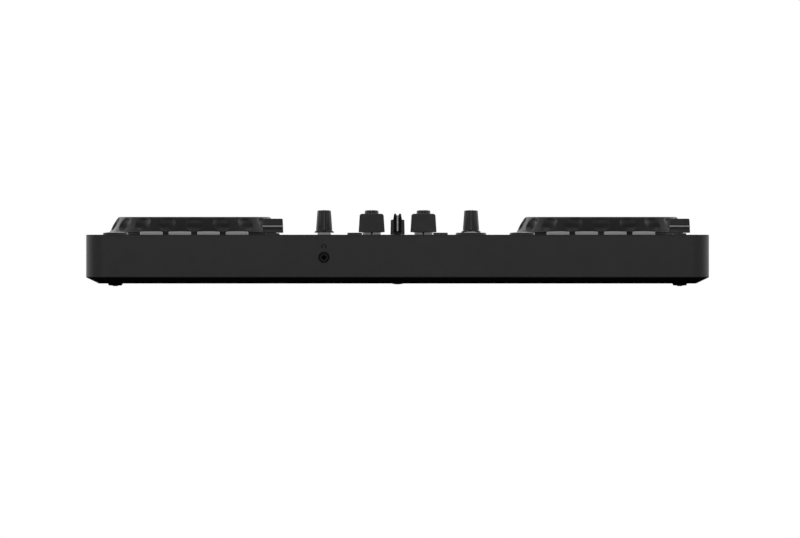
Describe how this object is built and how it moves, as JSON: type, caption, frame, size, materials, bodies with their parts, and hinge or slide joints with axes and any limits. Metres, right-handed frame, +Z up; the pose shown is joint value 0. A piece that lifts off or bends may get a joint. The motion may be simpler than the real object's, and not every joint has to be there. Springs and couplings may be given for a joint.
{
  "type": "dj controller",
  "caption": "Compact black two-deck DJ controller with jog wheels, performance pads, a mixer strip of knobs and faders, a front headphone jack and rear sockets.",
  "frame": {"origin": "on the table, under the middle of the case's footprint", "axes": "+X to the player's right, +Y from the front face to the back, +Z up from the table"},
  "size_m": [0.392, 0.208, 0.048],
  "materials": {
    "panel_plastic": "fine satin texture",
    "case_plastic": "fine moulded texture",
    "feet_rubber": "matt",
    "screw_steel": "black zinc",
    "board_laminate": "solder mask",
    "fader_steel": "plain",
    "pot_steel": "plain",
    "jack_plastic": "semi gloss",
    "rca_plating": "plated",
    "usb_steel": "plain",
    "bearing_steel": "turned",
    "pad_silicone": "frosted",
    "light_key": "frosted",
    "round_key": "semi gloss",
    "dark_key": "satin",
    "jog_rim": "satin",
    "jog_top": "satin with a fine turned grain",
    "knob_rubber": "soft touch",
    "cap_plastic": "semi gloss"
  },
  "bodies": {
    "case": {"top_panel": "panel_plastic", "bottom_case": "case_plastic", "rubber_feet": "feet_rubber", "case_screws": "screw_steel", "circuit_boards": "board_laminate", "fader_units": "fader_steel", "pot_bodies": "pot_steel", "headphone_jack": "jack_plastic", "rca_sockets": "rca_plating", "usb_port": "usb_steel", "jog_bearings": "bearing_steel"},
    "jog_wheel_l": {"jog_ring_l": "jog_rim", "jog_plate_l": "jog_top"},
    "jog_wheel_r": {"jog_ring_r": "jog_rim", "jog_plate_r": "jog_top"},
    "pad_l_1": {"pad_l_1": "pad_silicone"},
    "pad_l_2": {"pad_l_2": "pad_silicone"},
    "pad_l_3": {"pad_l_3": "pad_silicone"},
    "pad_l_4": {"pad_l_4": "pad_silicone"},
    "pad_l_5": {"pad_l_5": "pad_silicone"},
    "pad_l_6": {"pad_l_6": "pad_silicone"},
    "pad_l_7": {"pad_l_7": "pad_silicone"},
    "pad_l_8": {"pad_l_8": "pad_silicone"},
    "pad_r_1": {"pad_r_1": "pad_silicone"},
    "pad_r_2": {"pad_r_2": "pad_silicone"},
    "pad_r_3": {"pad_r_3": "pad_silicone"},
    "pad_r_4": {"pad_r_4": "pad_silicone"},
    "pad_r_5": {"pad_r_5": "pad_silicone"},
    "pad_r_6": {"pad_r_6": "pad_silicone"},
    "pad_r_7": {"pad_r_7": "pad_silicone"},
    "pad_r_8": {"pad_r_8": "pad_silicone"},
    "play_button_l": {"play_button_l": "round_key"},
    "cue_button_l": {"cue_button_l": "round_key"},
    "sync_button_l": {"sync_button_l": "dark_key"},
    "shift_button_l": {"shift_button_l": "dark_key"},
    "load_button_l": {"load_button_l": "dark_key"},
    "channel_cue_button_l": {"channel_cue_button_l": "light_key"},
    "play_button_r": {"play_button_r": "round_key"},
    "cue_button_r": {"cue_button_r": "round_key"},
    "sync_button_r": {"sync_button_r": "dark_key"},
    "shift_button_r": {"shift_button_r": "dark_key"},
    "load_button_r": {"load_button_r": "dark_key"},
    "channel_cue_button_r": {"channel_cue_button_r": "light_key"},
    "smart_button": {"smart_button": "light_key"},
    "master_cue_button": {"master_cue_button": "light_key"},
    "tempo_cap_l": {"tempo_cap_l": "cap_plastic"},
    "channel_cap_l": {"channel_cap_l": "cap_plastic"},
    "tempo_cap_r": {"tempo_cap_r": "cap_plastic"},
    "channel_cap_r": {"channel_cap_r": "cap_plastic"},
    "crossfader_cap": {"crossfader_cap": "cap_plastic"},
    "low_knob_l": {"low_knob_l": "knob_rubber"},
    "mid_knob_l": {"mid_knob_l": "knob_rubber"},
    "high_knob_l": {"high_knob_l": "knob_rubber"},
    "low_knob_r": {"low_knob_r": "knob_rubber"},
    "mid_knob_r": {"mid_knob_r": "knob_rubber"},
    "high_knob_r": {"high_knob_r": "knob_rubber"},
    "headphone_mix_knob": {"headphone_mix_knob": "knob_rubber"},
    "headphone_level_knob": {"headphone_level_knob": "knob_rubber"},
    "master_level_knob": {"master_level_knob": "knob_rubber"},
    "browse_knob": {"browse_knob": "knob_rubber"}
  },
  "joints": [
    {"name": "jog_wheel_l_spin", "type": "hinge", "parent": "case", "child": "jog_wheel_l", "pos_m": [-0.128, 0.036, 0.036], "axis": [0, 0, -1], "continuous": true},
    {"name": "jog_wheel_r_spin", "type": "hinge", "parent": "case", "child": "jog_wheel_r", "pos_m": [0.128, 0.036, 0.036], "axis": [0, 0, -1], "continuous": true},
    {"name": "pad_l_1_press", "type": "slide", "parent": "case", "child": "pad_l_1", "axis": [0, 0, 1], "range_m": [-0.0008, 0], "stiffness_N_per_m": 200, "springref_m": 0.0006},
    {"name": "pad_l_2_press", "type": "slide", "parent": "case", "child": "pad_l_2", "axis": [0, 0, 1], "range_m": [-0.0008, 0], "stiffness_N_per_m": 200, "springref_m": 0.0006},
    {"name": "pad_l_3_press", "type": "slide", "parent": "case", "child": "pad_l_3", "axis": [0, 0, 1], "range_m": [-0.0008, 0], "stiffness_N_per_m": 200, "springref_m": 0.0006},
    {"name": "pad_l_4_press", "type": "slide", "parent": "case", "child": "pad_l_4", "axis": [0, 0, 1], "range_m": [-0.0008, 0], "stiffness_N_per_m": 200, "springref_m": 0.0006},
    {"name": "pad_l_5_press", "type": "slide", "parent": "case", "child": "pad_l_5", "axis": [0, 0, 1], "range_m": [-0.0008, 0], "stiffness_N_per_m": 200, "springref_m": 0.0006},
    {"name": "pad_l_6_press", "type": "slide", "parent": "case", "child": "pad_l_6", "axis": [0, 0, 1], "range_m": [-0.0008, 0], "stiffness_N_per_m": 200, "springref_m": 0.0006},
    {"name": "pad_l_7_press", "type": "slide", "parent": "case", "child": "pad_l_7", "axis": [0, 0, 1], "range_m": [-0.0008, 0], "stiffness_N_per_m": 200, "springref_m": 0.0006},
    {"name": "pad_l_8_press", "type": "slide", "parent": "case", "child": "pad_l_8", "axis": [0, 0, 1], "range_m": [-0.0008, 0], "stiffness_N_per_m": 200, "springref_m": 0.0006},
    {"name": "pad_r_1_press", "type": "slide", "parent": "case", "child": "pad_r_1", "axis": [0, 0, 1], "range_m": [-0.0008, 0], "stiffness_N_per_m": 200, "springref_m": 0.0006},
    {"name": "pad_r_2_press", "type": "slide", "parent": "case", "child": "pad_r_2", "axis": [0, 0, 1], "range_m": [-0.0008, 0], "stiffness_N_per_m": 200, "springref_m": 0.0006},
    {"name": "pad_r_3_press", "type": "slide", "parent": "case", "child": "pad_r_3", "axis": [0, 0, 1], "range_m": [-0.0008, 0], "stiffness_N_per_m": 200, "springref_m": 0.0006},
    {"name": "pad_r_4_press", "type": "slide", "parent": "case", "child": "pad_r_4", "axis": [0, 0, 1], "range_m": [-0.0008, 0], "stiffness_N_per_m": 200, "springref_m": 0.0006},
    {"name": "pad_r_5_press", "type": "slide", "parent": "case", "child": "pad_r_5", "axis": [0, 0, 1], "range_m": [-0.0008, 0], "stiffness_N_per_m": 200, "springref_m": 0.0006},
    {"name": "pad_r_6_press", "type": "slide", "parent": "case", "child": "pad_r_6", "axis": [0, 0, 1], "range_m": [-0.0008, 0], "stiffness_N_per_m": 200, "springref_m": 0.0006},
    {"name": "pad_r_7_press", "type": "slide", "parent": "case", "child": "pad_r_7", "axis": [0, 0, 1], "range_m": [-0.0008, 0], "stiffness_N_per_m": 200, "springref_m": 0.0006},
    {"name": "pad_r_8_press", "type": "slide", "parent": "case", "child": "pad_r_8", "axis": [0, 0, 1], "range_m": [-0.0008, 0], "stiffness_N_per_m": 200, "springref_m": 0.0006},
    {"name": "play_button_l_press", "type": "slide", "parent": "case", "child": "play_button_l", "axis": [0, 0, 1], "range_m": [-0.0008, 0], "stiffness_N_per_m": 200, "springref_m": 0.0006},
    {"name": "cue_button_l_press", "type": "slide", "parent": "case", "child": "cue_button_l", "axis": [0, 0, 1], "range_m": [-0.0008, 0], "stiffness_N_per_m": 200, "springref_m": 0.0006},
    {"name": "sync_button_l_press", "type": "slide", "parent": "case", "child": "sync_button_l", "axis": [0, 0, 1], "range_m": [-0.0008, 0], "stiffness_N_per_m": 200, "springref_m": 0.0006},
    {"name": "shift_button_l_press", "type": "slide", "parent": "case", "child": "shift_button_l", "axis": [0, 0, 1], "range_m": [-0.0008, 0], "stiffness_N_per_m": 200, "springref_m": 0.0006},
    {"name": "load_button_l_press", "type": "slide", "parent": "case", "child": "load_button_l", "axis": [0, 0, 1], "range_m": [-0.0008, 0], "stiffness_N_per_m": 200, "springref_m": 0.0006},
    {"name": "channel_cue_button_l_press", "type": "slide", "parent": "case", "child": "channel_cue_button_l", "axis": [0, 0, 1], "range_m": [-0.0008, 0], "stiffness_N_per_m": 200, "springref_m": 0.0006},
    {"name": "play_button_r_press", "type": "slide", "parent": "case", "child": "play_button_r", "axis": [0, 0, 1], "range_m": [-0.0008, 0], "stiffness_N_per_m": 200, "springref_m": 0.0006},
    {"name": "cue_button_r_press", "type": "slide", "parent": "case", "child": "cue_button_r", "axis": [0, 0, 1], "range_m": [-0.0008, 0], "stiffness_N_per_m": 200, "springref_m": 0.0006},
    {"name": "sync_button_r_press", "type": "slide", "parent": "case", "child": "sync_button_r", "axis": [0, 0, 1], "range_m": [-0.0008, 0], "stiffness_N_per_m": 200, "springref_m": 0.0006},
    {"name": "shift_button_r_press", "type": "slide", "parent": "case", "child": "shift_button_r", "axis": [0, 0, 1], "range_m": [-0.0008, 0], "stiffness_N_per_m": 200, "springref_m": 0.0006},
    {"name": "load_button_r_press", "type": "slide", "parent": "case", "child": "load_button_r", "axis": [0, 0, 1], "range_m": [-0.0008, 0], "stiffness_N_per_m": 200, "springref_m": 0.0006},
    {"name": "channel_cue_button_r_press", "type": "slide", "parent": "case", "child": "channel_cue_button_r", "axis": [0, 0, 1], "range_m": [-0.0008, 0], "stiffness_N_per_m": 200, "springref_m": 0.0006},
    {"name": "smart_button_press", "type": "slide", "parent": "case", "child": "smart_button", "axis": [0, 0, 1], "range_m": [-0.0008, 0], "stiffness_N_per_m": 200, "springref_m": 0.0006},
    {"name": "master_cue_button_press", "type": "slide", "parent": "case", "child": "master_cue_button", "axis": [0, 0, 1], "range_m": [-0.0008, 0], "stiffness_N_per_m": 200, "springref_m": 0.0006},
    {"name": "tempo_cap_l_slide", "type": "slide", "parent": "case", "child": "tempo_cap_l", "axis": [0, 1, 0], "range_m": [-0.0225, 0.0225]},
    {"name": "channel_cap_l_slide", "type": "slide", "parent": "case", "child": "channel_cap_l", "axis": [0, 1, 0], "range_m": [-0.0225, 0.0225]},
    {"name": "tempo_cap_r_slide", "type": "slide", "parent": "case", "child": "tempo_cap_r", "axis": [0, 1, 0], "range_m": [-0.0225, 0.0225]},
    {"name": "channel_cap_r_slide", "type": "slide", "parent": "case", "child": "channel_cap_r", "axis": [0, 1, 0], "range_m": [-0.0225, 0.0225]},
    {"name": "crossfader_cap_slide", "type": "slide", "parent": "case", "child": "crossfader_cap", "axis": [1, 0, 0], "range_m": [-0.0225, 0.0225]},
    {"name": "low_knob_l_turn", "type": "hinge", "parent": "case", "child": "low_knob_l", "pos_m": [-0.0163, 0.026, 0.034], "axis": [0, 0, -1], "range_deg": [-140, 140]},
    {"name": "mid_knob_l_turn", "type": "hinge", "parent": "case", "child": "mid_knob_l", "pos_m": [-0.0163, 0.05, 0.034], "axis": [0, 0, -1], "range_deg": [-140, 140]},
    {"name": "high_knob_l_turn", "type": "hinge", "parent": "case", "child": "high_knob_l", "pos_m": [-0.0163, 0.074, 0.034], "axis": [0, 0, -1], "range_deg": [-140, 140]},
    {"name": "low_knob_r_turn", "type": "hinge", "parent": "case", "child": "low_knob_r", "pos_m": [0.0163, 0.026, 0.034], "axis": [0, 0, -1], "range_deg": [-140, 140]},
    {"name": "mid_knob_r_turn", "type": "hinge", "parent": "case", "child": "mid_knob_r", "pos_m": [0.0163, 0.05, 0.034], "axis": [0, 0, -1], "range_deg": [-140, 140]},
    {"name": "high_knob_r_turn", "type": "hinge", "parent": "case", "child": "high_knob_r", "pos_m": [0.0163, 0.074, 0.034], "axis": [0, 0, -1], "range_deg": [-140, 140]},
    {"name": "headphone_mix_knob_turn", "type": "hinge", "parent": "case", "child": "headphone_mix_knob", "pos_m": [-0.0462, 0.05, 0.034], "axis": [0, 0, -1], "range_deg": [-140, 140]},
    {"name": "headphone_level_knob_turn", "type": "hinge", "parent": "case", "child": "headphone_level_knob", "pos_m": [-0.0462, 0.074, 0.034], "axis": [0, 0, -1], "range_deg": [-140, 140]},
    {"name": "master_level_knob_turn", "type": "hinge", "parent": "case", "child": "master_level_knob", "pos_m": [0.0462, 0.05, 0.034], "axis": [0, 0, -1], "range_deg": [-140, 140]},
    {"name": "browse_knob_turn", "type": "hinge", "parent": "case", "child": "browse_knob", "pos_m": [0.0462, 0.074, 0.034], "axis": [0, 0, -1], "continuous": true}
  ]
}
